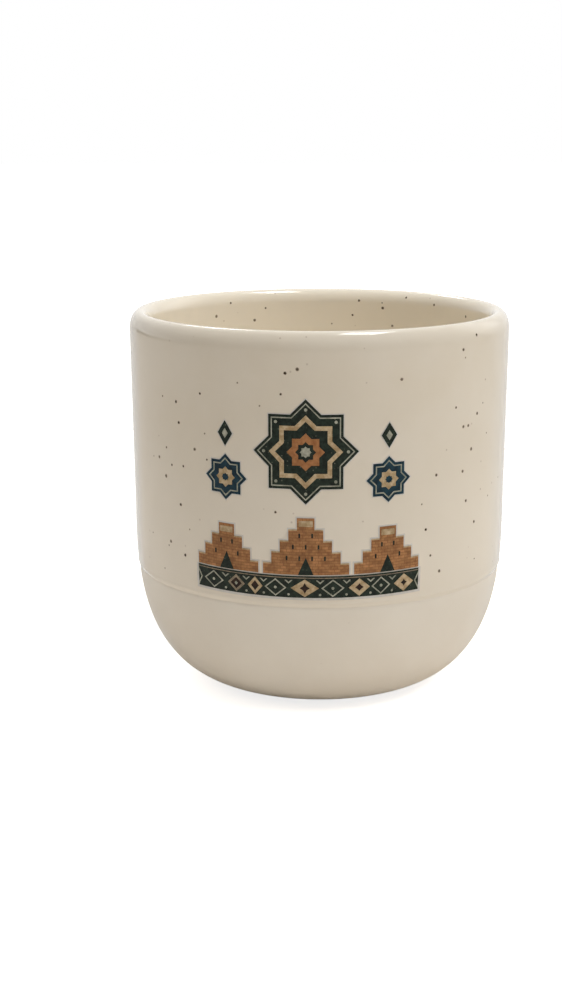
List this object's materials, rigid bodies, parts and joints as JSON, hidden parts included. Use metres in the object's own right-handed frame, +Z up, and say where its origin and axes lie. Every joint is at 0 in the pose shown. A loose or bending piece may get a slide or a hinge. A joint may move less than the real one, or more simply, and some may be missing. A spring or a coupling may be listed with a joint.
{
  "type": "arabic coffee cup",
  "caption": "Small handleless round stoneware coffee cup with a rounded bowl on a foot ring, two coats of glaze and a printed front.",
  "frame": {"origin": "centre of the foot ring's resting plane", "axes": "+Z up along the cup's axis, front with the printed band facing -Y, +X to the viewer's right"},
  "size_m": [0.07, 0.07, 0.07],
  "materials": {
    "stoneware": "bare fired clay, slightly rough",
    "gloss_glaze": "glossy cream glaze with iron specks",
    "satin_glaze": "smooth satin cream glaze",
    "iron_speck": "dark brown speck melted into the glaze",
    "print_film": "thin pale fired film",
    "print_green": "fired ceramic print, very dark green",
    "print_navy": "fired ceramic print, dark blue-green",
    "print_terracotta": "fired ceramic print, warm brown",
    "print_pale": "fired ceramic print, pale stone",
    "print_sand": "fired ceramic print, sand"
  },
  "bodies": {
    "root": {"stoneware_body": "stoneware", "liner_glaze": "gloss_glaze", "gloss_glaze": "gloss_glaze", "satin_glaze": "satin_glaze", "base_glaze": "satin_glaze", "outer_specks": "iron_speck", "liner_specks": "iron_speck", "print_film": "print_film", "band_ground": "print_green", "band_hairline": "print_sand", "band_sand_lozenges": "print_sand", "band_open_lozenges": "print_pale", "band_dark_cores": "print_green", "band_beads": "print_sand", "band_chevrons": "print_pale", "band_dots": "print_pale", "medallion_ground": "print_green", "medallion_tracery": "print_sand", "medallion_heart": "print_terracotta", "side_stars": "print_navy", "side_star_eyes": "print_sand", "side_drops": "print_green", "frieze_gables": "print_terracotta", "frieze_openings": "print_green", "frieze_caps": "print_sand"}
  },
  "joints": []
}
